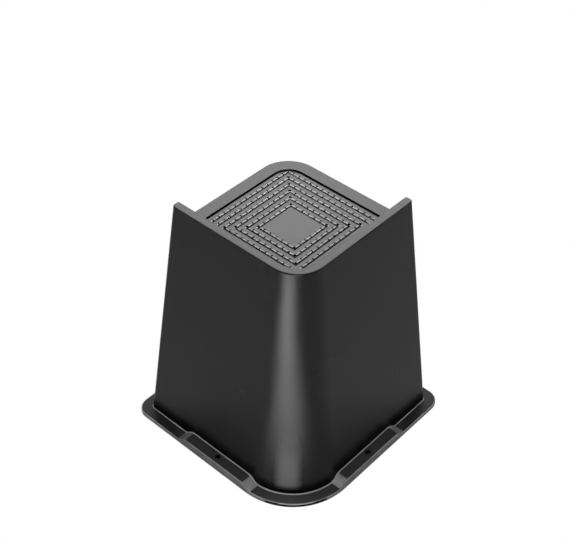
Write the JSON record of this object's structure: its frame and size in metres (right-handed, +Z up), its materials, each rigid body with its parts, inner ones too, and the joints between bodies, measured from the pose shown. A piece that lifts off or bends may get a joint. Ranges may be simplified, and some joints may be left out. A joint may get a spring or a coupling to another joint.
{
  "type": "bed riser",
  "caption": "Tall tapered plastic bed riser with a treaded seat between two raised walls, a flanged square base and fixing holes in raised benches.",
  "frame": {"origin": "middle of the square base, on the floor", "axes": "+Z up, the two raised walls stand on the -X and -Y sides, the seat is open to +X and +Y"},
  "size_m": [0.19, 0.19, 0.2264],
  "materials": {
    "shell": "satin"
  },
  "bodies": {
    "root": {"riser": "shell"}
  },
  "joints": []
}
